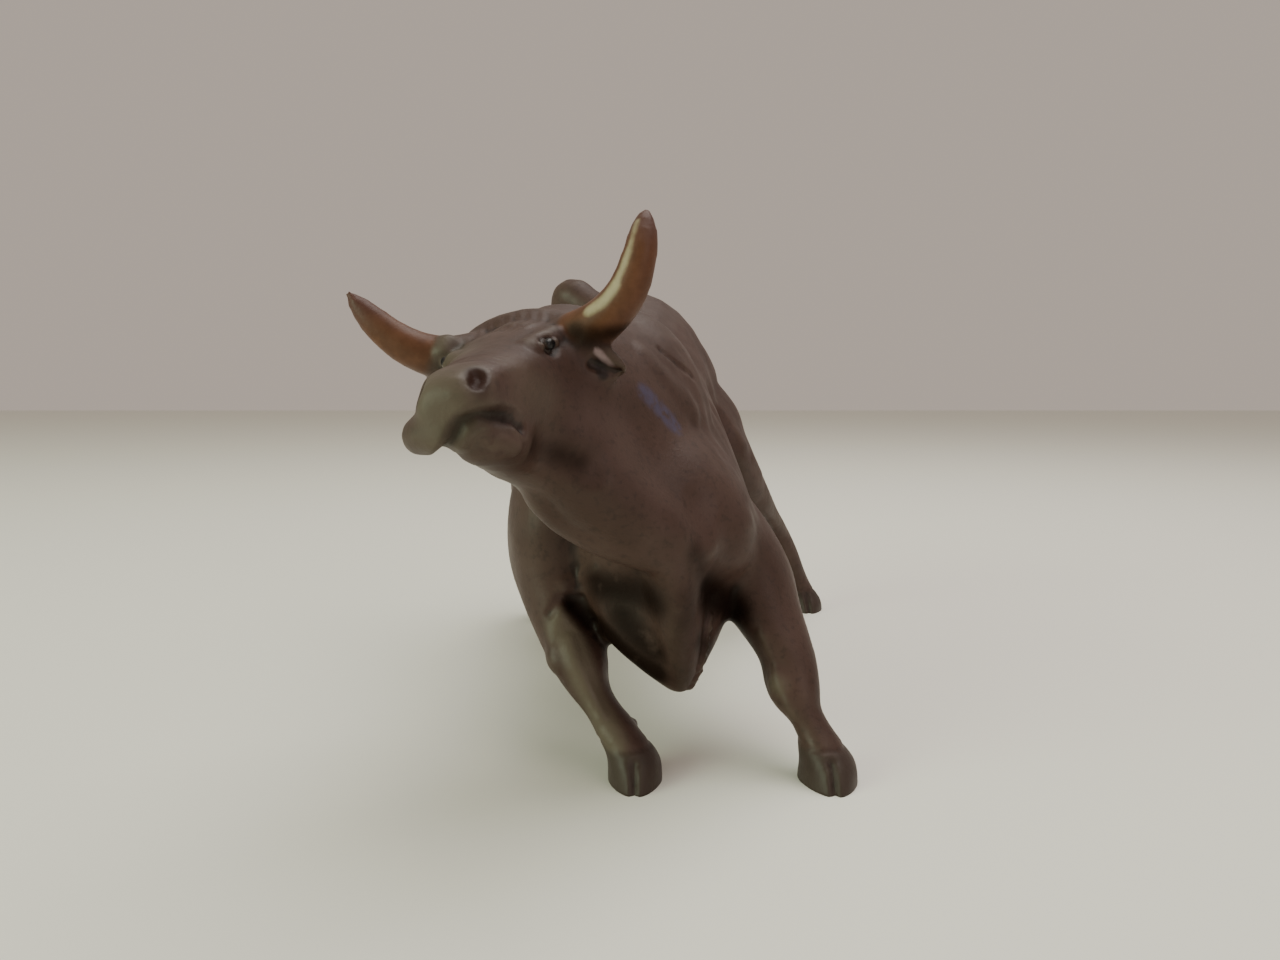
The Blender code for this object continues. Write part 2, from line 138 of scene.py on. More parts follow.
# Sizes of the patterns in the paint, in metres.
CLOUD_SIZE = 0.011
GRAIN_SIZE = 0.0011
STREAK_SIZE = 0.0022
RAGGED_SIZE = 0.0014
# Unevenness of the painted shade.
UNEVEN_SHADE_SIZE = 0.004
SMEAR_SIZE = 0.0016
GLOSS_SIZE = 0.006
PORE_SIZE = 0.0005
PORE_DEPTH = 0.00012

# Heights over which the paint of the hooves fades out, in metres.
HOOF_PAINT_FULL = 0.0050
HOOF_PAINT_END = 0.0066

# Sockets of a Mix node that mixes colours.
UNDER_SOCKET = 6
OVER_SOCKET = 7
MIXED_SOCKET = 2

# Colours, gloss and roughness of the paint, and colours of floor and sky.
BROWN = (0.040, 0.0205, 0.0152, 1)
BROWN_LIGHT = (0.053, 0.029, 0.0225, 1)
BROWN_DARK = (0.013, 0.007, 0.005, 1)
# Near black of the painted shade, also in the ear's hollow.
SHADE_BLACK = (0.0045, 0.0022, 0.0013, 1)
# Light brown of the wear on ridges and of the painted light on shin, knee, hooves and cheek.
WORN_AND_LIT = (0.095, 0.078, 0.055, 1)
# Greenish grey of the painted light on the muzzle and the far brow.
PAINTED_LIGHT_GREY = (0.11, 0.098, 0.070, 1)
HOOF_BROWN = (0.027, 0.019, 0.0145, 1)
HORN_ORANGE = (0.072, 0.027, 0.0115, 1)
HORN_LIGHT = (0.100, 0.040, 0.019, 1)
HORN_TIP = (0.066, 0.027, 0.019, 1)
HORN_CREAM = (0.38, 0.335, 0.21, 1)
NOSTRIL_RED = (0.024, 0.0085, 0.005, 1)
EYE_BLACK = (0.005, 0.005, 0.006, 1)
# Painted highlight on the ear's rim.
LILAC_HIGHLIGHT = (0.22, 0.158, 0.165, 1)
SMEAR_BLUE = (0.052, 0.048, 0.092, 1)
GLOSS_PLAIN = (0.25, 0.25, 0.25, 1)
# Lower gloss under the painted shade.
GLOSS_SHADED = (0.04, 0.04, 0.04, 1)
ROUGH_SATIN = (0.42, 0.42, 0.42, 1)
ROUGH_MATT = (0.58, 0.58, 0.58, 1)
ROUGH_EYE = (0.28, 0.28, 0.28, 1)
ROUGH_FLOOR = 0.55
FLOOR_COLOUR = (0.76, 0.765, 0.69, 1)
SKY_COLOUR = (0.654, 0.558, 0.482, 1)


def head_point(forward, left, up):
    """A place in the head, from the poll: along the face, to its left and up."""
    head_up = HEAD_FORWARD.cross(HEAD_LEFT)
    if head_up.z < 0:
        head_up = -head_up
    return POLL + HEAD_FORWARD * forward + HEAD_LEFT * left + head_up * up


def rounded(value, roundness):
    """The value of a sine, pushed outwards for a boxier ring where roundness is under one."""
    return np.copysign(abs(value) ** roundness, value)


def ring_points(centre, along, side, half_width, half_depth, pear, roundness):
    """One oval ring across the direction 'along'; pear narrows its top and widens its bottom."""
    along = along.normalized()
    across = (side - along * side.dot(along)).normalized()
    up = across.cross(along).normalized()
    ring = []
    sides = int(RING_SIDES)
    for number in range(sides):
        turn = 2 * np.pi * number / sides
        high = rounded(np.sin(turn), roundness)
        wide = half_width * rounded(np.cos(turn), roundness) * (1 - pear * high)
        ring.append(centre + across * wide + up * (half_depth * high))
    return ring


def eased(stations):
    """The stations with three more between each pair, on a smooth curve through them."""
    rows = np.array([(*row, 0, 0)[:7] for row in stations], dtype=float)
    padded = np.vstack([2 * rows[0] - rows[1], rows, 2 * rows[-1] - rows[-2]])
    smooth_rows = []
    for number in range(1, len(padded) - 2):
        first, second, third, fourth = padded[number - 1:number + 3]
        for share in (0, 0.25, 0.5, 0.75):
            row = 0.5 * (
                2 * second
                + (third - first) * share
                + (2 * first - 5 * second + 4 * third - fourth) * share ** 2
                + (3 * second - first - 3 * third + fourth) * share ** 3
            )
            smooth_rows.append(row)
    smooth_rows.append(rows[-1])
    return smooth_rows


def limb(mesh, stations, side=None, along=None, roundness=1.0):
    """A closed tube through stations of (x, y, z, half width, half depth, lean, pear).

    The rings stand across the path, or across 'along' where that is given.
    """
    rows = eased(stations)
    centres = [Vector(row[:3]) for row in rows]
    rings = []
    for number, row in enumerate(rows):
        before = centres[max(number - 1, 0)]
        after = centres[min(number + 1, len(centres) - 1)]
        heading = along or after - before
        across = side or Vector((1.0, 0.0, row[5]))
        half_sizes = (max(row[3], 0.2), max(row[4], 0.2))
        ring = ring_points(centres[number], heading, across, *half_sizes, row[6], roundness)
        rings.append([mesh.verts.new(point) for point in ring])
    for lower, upper in zip(rings, rings[1:]):
        for number in range(len(lower)):
            follower = (number + 1) % len(lower)
            mesh.faces.new((lower[number], lower[follower], upper[follower], upper[number]))
    mesh.faces.new(list(reversed(rings[0])))
    mesh.faces.new(rings[-1])


def round_limb(mesh, stations, side=None):
    """A closed round tube through stations of (x, y, z, radius)."""
    limb(mesh, [(x, y, z, radius, radius) for x, y, z, radius in stations], side)


def trunk(mesh):
    """Chest, barrel, loin and croup; the front leans further over than the rest."""
    limb(
        mesh,
        [
            (5.5, -53, 45, 5, 7, 0.3, 0.1),
            (5, -50, 45, 10, 12, 0.33, 0.2),
            (3.5, -44, 45.5, 14, 17.5, 0.38, 0.35),
            (0.5, -36, 47.5, 16.5, 25, 0.36, 0.4),
            (-1.5, -22, 51, 19, 28.5, 0.28, 0.25),
            (-3, -5, 51, 21.5, 28, 0.2, 0.12),
            (-3, 14, 52.5, 21.5, 27, 0.14, 0.06),
            (-2.5, 30, 57.5, 21.5, 27.5, 0.08, 0),
            (-2.5, 43, 61, 22, 28, 0.06, 0),
            (-3, 54, 62.5, 20.5, 25, 0.06, 0),
            (-4, 62, 63, 14, 17, 0.06, 0),
            (-4.5, 66, 63.5, 5, 7, 0.06, 0),
        ],
        along=BACKWARD,
    )


def neck(mesh):
    """The thick neck, bent to the bull's right, and the fold of skin below it."""
    limb(
        mesh,
        [
            (-1.5, -12, 52.5, 15.5, 23, NECK_LEAN, 0.2),
            (-2.5, -28, 57, 16.5, 25, NECK_LEAN, 0.2),
            (-6.5, -38, 60, 14.5, 22, NECK_LEAN, 0.15),
            (-11.5, -46, 63.5, 12.5, 18, NECK_LEAN, 0.1),
            (-15.5, -53, 65, 10.5, 13, NECK_LEAN, 0),
            (-19, -59, 66.5, 8.5, 10, NECK_LEAN, 0),
        ],
    )
    throat = [
        (-15.5, -52, 71, 7, 8),
        (-14.8, -53, 66, 9.5, 11),
        (-13, -53.5, 60, 10.4, 13),
        (-10.8, -53.4, 55, 11.2, 13),
        (-7.6, -52.4, 50.5, 12.2, 13),
        (-3.4, -51, 46, 12.6, 12.4),
        (0.8, -49.6, 42.2, 12.2, 11.8),
        (3.8, -48.4, 39.4, 10.6, 10.8),
        (5.4, -47.4, 37.4, 8, 9),
    ]
    limb(mesh, throat, along=DOWNWARD)


def brisket(mesh):
    """The chest hanging in a V between the forelegs, with a narrow keel down its front."""
    chest = [
        (3, -35, 44, 15.5, 13),
        (3, -36, 34, 14.4, 13),
        (3.4, -38.2, 27.5, 12.6, 12),
        (4, -41, 22.5, 9.8, 10),
        (5.4, -44, 18.2, 5.6, 7),
        (6.8, -46, 14.6, 1.5, 3),
    ]
    keel = [
        (4.6, -48, 43, 7, 10),
        (5.6, -48, 36, 5.6, 9.5),
        (6.1, -48, 29, 4.6, 8.5),
        (6.5, -47.6, 23, 3.8, 7),
        (6.8, -47, 18, 2.8, 5),
        (6.9, -46.6, 15, 1.6, 3),
    ]
    for stations in (chest, keel):
        limb(mesh, stations, along=DOWNWARD)


def forelegs(mesh):
    """Shoulder, forearm, knee, cannon, fetlock and hoof on each side, in level slices."""
    limb(
        mesh,
        [
            (-10, -29, 66, 7, 11),
            (-12.5, -30, 54, 9, 14),
            (-15, -30, 43, 9, 14),
            (-15.6, -31, 34, 8, 12),
            (-13.8, -35, 27, 7, 9),
            (-12.6, -38, 23, 6, 7.4),
            (-10.8, -41, 19, 5.4, 6.4),
            (-10, -42.2, 16.5, 4.7, 5.6),
            (-8.8, -43.6, 14, 3.9, 4.7),
            (-6.8, -45, 11.5, 3.5, 4.1),
            (-4.7, -46.5, 9.3, 3.7, 4.2),
            (-3.2, -47.5, 7, 4, 4.5),
            (-1.6, -48.5, 5, 4.3, 5, 0, -0.1),
            (-0.8, -49.4, 3, 4.5, 5.8, 0, -0.22),
            (-0.7, -50.2, 0, 4.5, 6.6, 0, -0.3),
            (-0.7, -50.2, -2, 4.5, 6.6, 0, -0.3),
        ],
        along=DOWNWARD,
    )
    limb(
        mesh,
        [
            (-1, -29, 64, 7, 11),
            (5, -30, 54, 8, 13),
            (13.5, -30.5, 43, 8.6, 14),
            (19, -31, 34, 8.4, 12),
            (21.6, -35, 27, 7.3, 9),
            (23.7, -38, 23, 6.2, 7.6),
            (25.7, -40.5, 19, 5.2, 6.3),
            (26.3, -42, 16.5, 4.9, 5.8),
            (26.5, -43.5, 14, 4.8, 5.6),
            (27.1, -45, 11.5, 4, 4.7),
            (28.8, -46.5, 9.3, 3.3, 3.9),
            (30.2, -47.7, 7, 3.5, 4.3),
            (31, -48.7, 5, 4.2, 5, 0, -0.1),
            (31.8, -49.5, 3, 4.7, 5.9, 0, -0.22),
            (31.8, -50.2, 0, 4.9, 6.7, 0, -0.3),
            (31.8, -50.2, -2, 4.9, 6.7, 0, -0.3),
        ],
        along=DOWNWARD,
    )


def hind_legs(mesh):
    """Thigh, stifle, hock, cannon, fetlock and hoof on each side, reaching back."""
    limb(
        mesh,
        [
            (6, 44, 70, 9, 14),
            (13.5, 43, 60, 10, 18),
            (18.8, 42, 51, 9, 18),
            (23.2, 44, 43, 8.2, 15),
            (27.4, 48, 37, 7, 12),
            (31, 53, 32, 6, 9.5),
            (34.6, 59, 28, 5, 8),
            (38, 64, 23.5, 4.3, 6),
            (41.2, 66, 18, 3.8, 4.8),
            (43.8, 68, 12, 3.6, 4.4),
            (45.3, 69.5, 8, 4, 4.6),
            (47, 70, 5, 4.2, 5, 0, -0.1),
            (48.2, 69.6, 2.5, 4.6, 5.8, 0, -0.2),
            (48.4, 69, 0, 4.6, 6.4, 0, -0.3),
            (48.4, 69, -2, 4.6, 6.4, 0, -0.3),
        ],
        along=DOWNWARD,
    )
    limb(
        mesh,
        [
            (-11, 44, 69, 9, 14),
            (-18, 43, 59, 10, 18),
            (-22, 41, 50, 9.2, 18),
            (-24.6, 41, 42, 8.2, 15),
            (-26, 44, 36, 7, 12),
            (-26.8, 50, 31, 6, 9.5),
            (-27.2, 56, 27, 5, 8),
            (-27.4, 60, 22.5, 4.3, 6),
            (-27, 61, 17, 3.8, 4.8),
            (-26.5, 61, 11.5, 3.6, 4.4),
            (-26, 60, 8, 4, 4.6),
            (-25.5, 58.6, 5, 4.2, 5, 0, -0.1),
            (-25, 57, 2.5, 4.6, 5.8, 0, -0.2),
            (-25, 56, 0, 4.6, 6.4, 0, -0.3),
            (-25, 56, -2, 4.6, 6.4, 0, -0.3),
        ],
        along=DOWNWARD,
    )


def tail(mesh):
    """The tail rises from the croup in a thick knob and falls down the back of the right thigh."""
    round_limb(
        mesh,
        [
            (-4.5, 52, 80, 5),
            (-9.5, 58, 83.5, 5),
            (-14.5, 62.5, 86.6, 5),
            (-18.6, 65, 89, 5.4),
            (-20.6, 66.2, 85.5, 4.2),
            (-21.8, 65.5, 78, TAIL_RADIUS + 0.6),
            (-23, 62.5, 70, TAIL_RADIUS),
            (-22.5, 59.5, 60, TUFT_RADIUS - 0.4),
            (-22, 57.5, 51, TUFT_RADIUS),
            (-22.5, 56, 43, 1.4),
        ],
        SIDEWAYS,
    )


def head(mesh):
    """Skull, face, muzzle and lower jaw."""
    face = [
        (-6, 0, -12, 7, 7.5, 0),
        (0, 0, -11.6, HEAD_HALF_WIDTH - 1.2, 9, 0),
        (7, 0, -11.6, HEAD_HALF_WIDTH - 0.4, 9.8, 0),
        (13, 0, -11.8, HEAD_HALF_WIDTH - 1, 9.2, 0.04),
        (19, 0.3, -11.6, 8, 8.2, 0.1),
        (25, 0.6, -11, NOSE_HALF_WIDTH + 1.3, 7, 0.16),
        (30, 0.4, -10.2, NOSE_HALF_WIDTH + 0.5, 6, 0.18),
        (34, 0.2, -9.8, NOSE_HALF_WIDTH + 0.1, 5.2, 0.16),
        (36.8, 0, -9.8, NOSE_HALF_WIDTH - 0.9, 4, 0.1),
        (HEAD_LENGTH, 0, -9.8, 2.8, 2.4, 0),
    ]
    jaw = [
        (1, 0, -18.6, 7.8, 7.2, 0),
        (7, 0, -19.2, 7.4, 6.6, 0),
        (13, 0.2, -18.8, 6.7, 5.8, 0),
        (20, 0.8, -17.2, 5.6, 4.7, 0),
        (27, 1.6, -15.6, 4.8, 3.8, 0),
        (31.5, 1.9, -14.6, 4.3, 3.4, 0),
        (34.2, 2, -14, 2.8, 2.2, 0),
    ]
    for stations in (face, jaw):
        rows = [(*head_point(*row[:3]), row[3], row[4], 0, row[5]) for row in stations]
        limb(mesh, rows, HEAD_LEFT, roundness=0.8)
    lip = [
        (25, -6.6, -14, 1.8),
        (30, -LIP_HALF_WIDTH, -13, 2.5),
        (33.8, -5, -12.4, 2.8),
        (36, -0.6, -12.6, 2.5),
        (35, 2.6, -10.6, 1.9),
    ]
    round_limb(mesh, [(*head_point(*row[:3]), row[3]) for row in lip], UPWARD)
    poll = [
        (0.5, -8, -4.8, 3.4),
        (0, -4, -3.9, 4),
        (0, 0, -3.6, 4.2),
        (0, 4, -3.8, 4),
        (0.5, 8, -4.6, 3.4),
    ]
    round_limb(mesh, [(*head_point(*row[:3]), row[3]) for row in poll], UPWARD)


def ears(mesh):
    """Two leaf-shaped ears hanging below the horn roots, one on each side of the head."""
    for hand in (-1, 1):
        root = head_point(8, hand * 11, -6.5)
        tip = head_point(4 + 2.5 * hand, hand * 18, -13)
        reach = (tip - root).normalized() * EAR_LENGTH
        spread = HEAD_FORWARD.cross(reach).normalized()
        stations = []
        for share, width in ((0, 0.5), (0.25, 0.85), (0.55, 1.0), (0.8, 0.75), (1.0, 0.2)):
            place = root + reach * share
            stations.append((*place, EAR_HALF_WIDTH * width, EAR_HALF_THICKNESS))
        limb(mesh, stations, spread)


def horn_paths():
    """Stations of the right horn, which sweeps out and up, and of the left, steeper one.

    Each row is the share of the reach, the steps forward and the share of the rise.
    """
    right = [
        (0, 0, 0),
        (0.25, 3, -0.06),
        (0.475, 4, 0.05),
        (0.67, 4.5, 0.28),
        (0.85, 5, 0.62),
        (1, 5.5, 0.99),
    ]
    left = [
        (0, 0, 0),
        (0.42, 3.5, 0.13),
        (0.73, 6.4, 0.33),
        (0.89, 7, 0.59),
        (0.95, 6, 0.82),
        (0.99, 4.4, 1),
    ]
    thickness = [1.2, 1.05, 0.92, 0.76, 0.52, 0.0]
    plans = (
        (right, Vector((-24.7, -51, 71)), -RIGHT_HORN_REACH, RIGHT_HORN_RISE),
        (left, Vector((-10.7, -53, 73.5)), LEFT_HORN_REACH, LEFT_HORN_RISE),
    )
    paths = []
    for shape, root, reach, rise in plans:
        stations = []
        for (sideways, forward, upward), thick in zip(shape, thickness):
            place = root + Vector((reach * sideways, -forward, rise * upward))
            stations.append((*place, HORN_TIP_RADIUS + (HORN_ROOT_RADIUS - HORN_TIP_RADIUS) * thick))
        paths.append(stations)
    return paths


def horns(mesh):
    """Both horns."""
    for stations in horn_paths():
        round_limb(mesh, stations, BACKWARD)


def placed(name, content):
    """A new object of the scene with this content."""
    made = bpy.data.objects.new(name, content)
    bpy.context.collection.objects.link(made)
    return made


def worked(body):
    """The mesh of a body with its modifiers applied; the body itself goes."""
    view = bpy.context.evaluated_depsgraph_get()
    skin = bpy.data.meshes.new_from_object(body.evaluated_get(view))
    bpy.data.objects.remove(body, do_unlink=True)
    return skin


def skin_over(source, name):
    """One closed skin drawn over the overlapping masses, then smoothed."""
    body = placed(name, source)
    remesh = body.modifiers.new("skin", "REMESH")
    remesh.mode = "VOXEL"
    remesh.voxel_size = SKIN_CELL
    smooth = body.modifiers.new("smooth", "SMOOTH")
    smooth.factor = 0.5
    smooth.iterations = int(SMOOTH_ROUNDS)
    return worked(body)


def subdivided(source):
    """The same skin with every facet in four, rounded."""
    body = placed("subdivided", source)
    finer = body.modifiers.new("finer", "SUBSURF")
    finer.levels = 1
    finer.render_levels = 1
    return worked(body)


def thinned(source, name):
    """The same skin with fewer facets."""
    body = placed(name, source)
    source.calc_loop_triangles()
    decimate = body.modifiers.new("facets", "DECIMATE")
    decimate.ratio = FINE_TRIANGLES / len(source.loop_triangles)
    return worked(body)


def column(items, key):
    """One three-part value of every vertex as an array of rows."""
    values = np.empty(len(items) * 3)
    items.foreach_get(key, values)
    return values.reshape(-1, 3)


def edge_ends(mesh):
    """Where every edge starts and where it leads, counted both ways round."""
    pairs = np.empty(len(mesh.edges) * 2, dtype=int)
    mesh.edges.foreach_get("vertices", pairs)
    return np.concatenate((pairs[0::2], pairs[1::2])), np.concatenate((pairs[1::2], pairs[0::2]))


def nearness(places, path, radius):
    """One at the path, falling smoothly to nought at the radius."""
    points = [np.array(point, dtype=float) for point in path]
    nearest = np.linalg.norm(places - points[0], axis=1)
    for start, end in zip(points, points[1:]):
        line = end - start
        share = np.clip((places - start) @ line / max(line @ line, 1e-12), 0, 1)
        gap = np.linalg.norm(places - start - share[:, None] * line, axis=1)
        nearest = np.minimum(nearest, gap)
    return np.clip(1 - (nearest / radius) ** 2, 0, 1) ** 2


def laid_on(places, path):
    """The path in short stretches, with each point brought to the nearest place of the skin."""
    points = [np.array(point, dtype=float) for point in path]
    stretches = []
    for start, end in zip(points, points[1:]):
        stretches += [start + (end - start) * share for share in (0, 0.25, 0.5, 0.75)]
    stretches.append(points[-1])
    return [places[((places - point) ** 2).sum(axis=1).argmin()] for point in stretches]


def stroke(skin, path, radius, depth):
    """Press a groove (depth above nought) or raise a ridge along a path over the skin."""
    places = column(skin.vertices, "co")
    weight = nearness(places, laid_on(places, path), radius)
    places -= column(skin.vertices, "normal") * (depth * weight)[:, None]
    skin.vertices.foreach_set("co", places.ravel())
    skin.update()


def soften(skin, path, radius, rounds):
    """Even out the skin round a path, so that the masses under it run together."""
    places = column(skin.vertices, "co")
    ends, others = edge_ends(skin)
    neighbours = np.bincount(ends, minlength=len(places))
    weight = 0.6 * nearness(places, path, radius)
    for number in range(int(rounds)):
        for axis in range(3):
            total = np.bincount(ends, places[others, axis], len(places))
            places[:, axis] += (total / neighbours - places[:, axis]) * weight
    skin.vertices.foreach_set("co", places.ravel())
    skin.update()


def even_chest(skin):
    """Withers, neck, throat and shoulders run into each other without a step."""
    soften(skin, [(-17, -18, 66), (-3, -17, 79), (12, -18, 68)], 9, CHEST_ROUNDS / 2)
    soften(skin, [(-16, -60, 62), (-4, -58, 56), (8, -54, 50), (16, -46, 48)], 15, CHEST_ROUNDS)
    soften(skin, [(-20, -40, 56), (-18, -34, 44)], 10, CHEST_ROUNDS / 2)
    soften(skin, [(20, -44, 40), (16, -50, 34)], 9, CHEST_ROUNDS / 2)
    soften(skin, [(-8, -46, 33), (0, -52, 29)], 7, CHEST_ROUNDS / 2)


def carve_face(skin):
    """Mouth, nostrils, brows, eyes and eye sockets."""
    mouth = [
        head_point(28, 5.4, -14.6),
        head_point(29.6, 5.2, -13.2),
        head_point(32.3, 5, -12),
        head_point(36.6, 4, -10.9),
        head_point(38.5, 1.8, -11.4),
        head_point(38.6, 0.2, -13.6),
        head_point(36, -2.4, -15.6),
        head_point(31, -5.2, -15.8),
        head_point(25, -6.4, -15.8),
    ]
    stroke(skin, mouth, MOUTH_RADIUS, MOUTH_DEPTH)
    for hand in (-1, 1):
        nostril = [head_point(35.4, hand * 3.6, -7), head_point(34.4, hand * 4.6, -5.8)]
        stroke(skin, nostril, NOSTRIL_RADIUS, NOSTRIL_DEPTH)
        brow = [
            head_point(EYE_FORWARD - 4, hand * EYE_SIDE, -2.4),
            head_point(EYE_FORWARD + 3, hand * (EYE_SIDE - 1.4), -2.8),
        ]
        stroke(skin, brow, 2.4, -0.9)
        eye = [head_point(EYE_FORWARD, hand * EYE_SIDE, -EYE_DROP)]
        stroke(skin, eye, 2 * EYE_RADIUS, 0.9)
        stroke(skin, eye, EYE_RADIUS, -1.1)


def carve_hooves(skin):
    """A cleft up the front of each hoof."""
    for toe_x, toe_y in ((-0.8, -57), (31.6, -57), (48.4, 62), (-25, 49)):
        stroke(skin, [(toe_x, toe_y, 0), (toe_x, toe_y + 2, 6)], CLEFT_RADIUS, CLEFT_DEPTH)


def level_soles(mesh):
    """Cut every hoof level with the ground and close the cut."""
    everything = mesh.verts[:] + mesh.edges[:] + mesh.faces[:]
    bmesh.ops.bisect_plane(mesh, geom=everything, plane_co=(0, 0, 0), plane_no=(0, 0, 1), clear_inner=True)
    rim = [edge for edge in mesh.edges if edge.is_boundary]
    bmesh.ops.holes_fill(mesh, edges=rim)
    bmesh.ops.dissolve_degenerate(mesh, dist=0.001, edges=mesh.edges[:])
    bmesh.ops.triangulate(mesh, faces=mesh.faces[:])
    bmesh.ops.recalc_face_normals(mesh, faces=mesh.faces[:])


def centred(mesh):
    """Bring the figure to its overall sizes, with the origin under its middle."""
    places = column(mesh.vertices, "co")
    low = places.min(axis=0)
    high = places.max(axis=0)
    middle = (low + high) / 2
    middle[2] = low[2]
    wanted = np.array((FIGURE_WIDTH, FIGURE_LENGTH, FIGURE_HEIGHT))
    places = (places - middle) * wanted / (high - low)
    mesh.vertices.foreach_set("co", places.ravel())
    mesh.update()


def finer_head(skin):
    """Once more round the head, where the small forms are."""
    mesh = bmesh.new()
    mesh.from_mesh(skin)
    middle = head_point(*HEAD_MIDDLE)
    near = [edge for edge in mesh.edges if (edge.verts[0].co - middle).length < HEAD_REACH]
    bmesh.ops.subdivide_edges(mesh, edges=near, cuts=1, use_grid_fill=True, smooth=0.6)
    bmesh.ops.triangulate(mesh, faces=[face for face in mesh.faces if len(face.verts) > 4])
    mesh.to_mesh(skin)
    mesh.free()
    skin.update()


def both_sides(points):
    """The same places in the head on its right and on its left."""
    return [[head_point(forward, hand * left, up) for forward, left, up in points] for hand in (-1, 1)]


def carve_eyes(skin):
    """A smooth ball in each socket, with a lid above and one below."""
    front, back, side = EYE_FORWARD + 1.9, EYE_FORWARD - 1.9, EYE_SIDE
    rear_corner = (back, side + 0.4, -EYE_DROP)
    front_corner = (front, side - 0.6, -EYE_DROP)
    upper = [rear_corner, (EYE_FORWARD, side, 1.2 - EYE_DROP), front_corner]
    lower = [rear_corner, (EYE_FORWARD, side, -1.4 - EYE_DROP), front_corner]
    for eye in both_sides([(EYE_FORWARD, EYE_SIDE, -EYE_DROP)]):
        soften(skin, eye, 3.4, 14)
        stroke(skin, eye, 1.5, -0.6)
    for path in both_sides(upper):
        stroke(skin, path, 0.9, -0.35)
    for path in both_sides(lower):
        stroke(skin, path, 0.9, -0.15)


def carve_muzzle(skin):
    """Softened nostrils and mouth corner, creases over the nose, and the chin."""
    for path in both_sides([(35.4, 3.6, -7), (34.4, 4.6, -5.8)]):
        soften(skin, path, 4.5, 40)
    for path in both_sides(NOSTRIL):
        stroke(skin, path, 1.4, 0.35)
    soften(skin, [head_point(28, 5.4, -14.6), head_point(32.3, 5, -12)], 3.2, 14)
    for step in range(4):
        crease = [(30 - 1.7 * step, 0.6, -4), (29 - 1.7 * step, 4.4, -5.6)]
        for path in both_sides(crease):
            stroke(skin, path, 0.8, 0.1)
    chin = [(35, 3.6, -14.5), (33, 4.6, -15.2), (30.5, 4.8, -16.4)]
    stroke(skin, [head_point(*place) for place in chin], 1.6, -0.35)


def carve_ears(skin):
    """The hollow of each ear, open to the front."""
    for path in both_sides([(9.6, 13.4, -9.4), (9.2, 15, -11), (8.8, 16.4, -12.4)]):
        stroke(skin, path, 1.5, 0.8)


def carve_brow_hair(skin):
    """Short flat locks combed down from the poll between the horns."""
    for number in range(8):
        left = -6.5 + 1.8 * number
        lock = [(1.5, left, -1), (5, left * 0.9 + 0.7, -2), (8 + number % 3, left * 0.75, -3)]
        stroke(skin, [head_point(*place) for place in lock], 0.9, 0.1)


def carve_horn_tips(skin):
    """Horn tips worn round."""
    for stations in horn_paths():
        soften(skin, [stations[-1][:3]], 3, 30)


def carve_dewlap(skin):
    """The hanging edge of the dewlap, the groove of the breast and the hair on the keel."""
    edge = [
        (-15.3, -58.8, 48),
        (-12.6, -56.4, 44.6),
        (-6.3, -56.7, 40.9),
        (-2.3, -57.8, 39.8),
        (3.4, -57.7, 38.2),
    ]
    stroke(skin, edge, 4.5, -1.2)
    stroke(skin, [(9.9, -52.8, 47.9), (9.5, -55.1, 45.1), (9.8, -56.8, 41.4)], 4, 0.6)
    for number in range(7):
        place = (12.2 - 0.55 * number, -47.4, 27.5 - 1.7 * number)
        end = (place[0] - 0.5, place[1] - 1.2, place[2] - 1.6)
        stroke(skin, [place, end], 0.9, -0.6)


def carve_neck(skin):
    """The jaw's hollow, the shoulder, and the crease and soft folds of the neck."""
    stroke(skin, [(-14.5, -70, 57.6), (-10.9, -66.3, 55.9), (-7.3, -65.3, 54.7)], 4.5, 0.8)
    stroke(skin, [(17.5, -47, 42), (16.7, -46.9, 37.7)], 6, -0.9)
    stroke(skin, [(3.6, -38.9, 72), (6.6, -37.2, 69.5), (9, -34.6, 67.5)], 1.2, 0.35)
    stroke(skin, [(1.5, -45, 72), (6, -43, 67), (10, -40, 62)], 3.2, -0.5)
    for hand in (-1, 1):
        for number in range(4):
            back = 5.5 * number - 44
            fold = [(hand * 12 - 4, back, 72), (hand * 16 - 3, back, 63), (hand * 17 - 3, back - 2, 54)]
            stroke(skin, fold, 2.4, 0.15)


def carve_flanks(skin):
    """Shoulder blades, ribs, flanks, haunches, spine, the split of the rump, belly and left thigh."""
    for hand in (-1, 1):
        blade = [(-2 + hand * 22, -20, 66), (-2 + hand * 24, -16, 52), (-1 + hand * 22, -20, 40)]
        flank = [(-2.5 + hand * 20, 22, 62), (-2.5 + hand * 23, 26, 50), (-2 + hand * 22, 29, 42)]
        haunch = [(-2.5 + hand * 21, 40, 68), (-2.5 + hand * 23, 42, 58)]
        ribs = [(-3 + hand * 22, -4, 60), (-3 + hand * 23, -2, 48), (-3 + hand * 20, 0, 38)]
        stroke(skin, blade, 5, 1.0)
        stroke(skin, flank, 6, 1.3)
        stroke(skin, haunch, 9, -0.9)
        for step in range(3):
            stroke(skin, [(x, y + 7 * step, z) for x, y, z in ribs], 2.4, 0.22)
    stroke(skin, [(-2.5, -6, 79), (-2.5, 15, 79.5), (-3, 34, 86), (-3.5, 46, 89)], 4, 0.6)
    stroke(skin, [(-4, 66, 72), (-4, 65, 62), (-4, 58, 50)], 3, 1.3)
    stroke(skin, [(-3, 2, 23), (-3, 18, 25.5)], 6, -1.0)
    stroke(skin, [(23.6, 29, 53.6), (25.6, 30.6, 50.8)], 3, -0.35)
    stroke(skin, [(28.4, 34.6, 47), (30.4, 38, 43)], 3, -0.35)


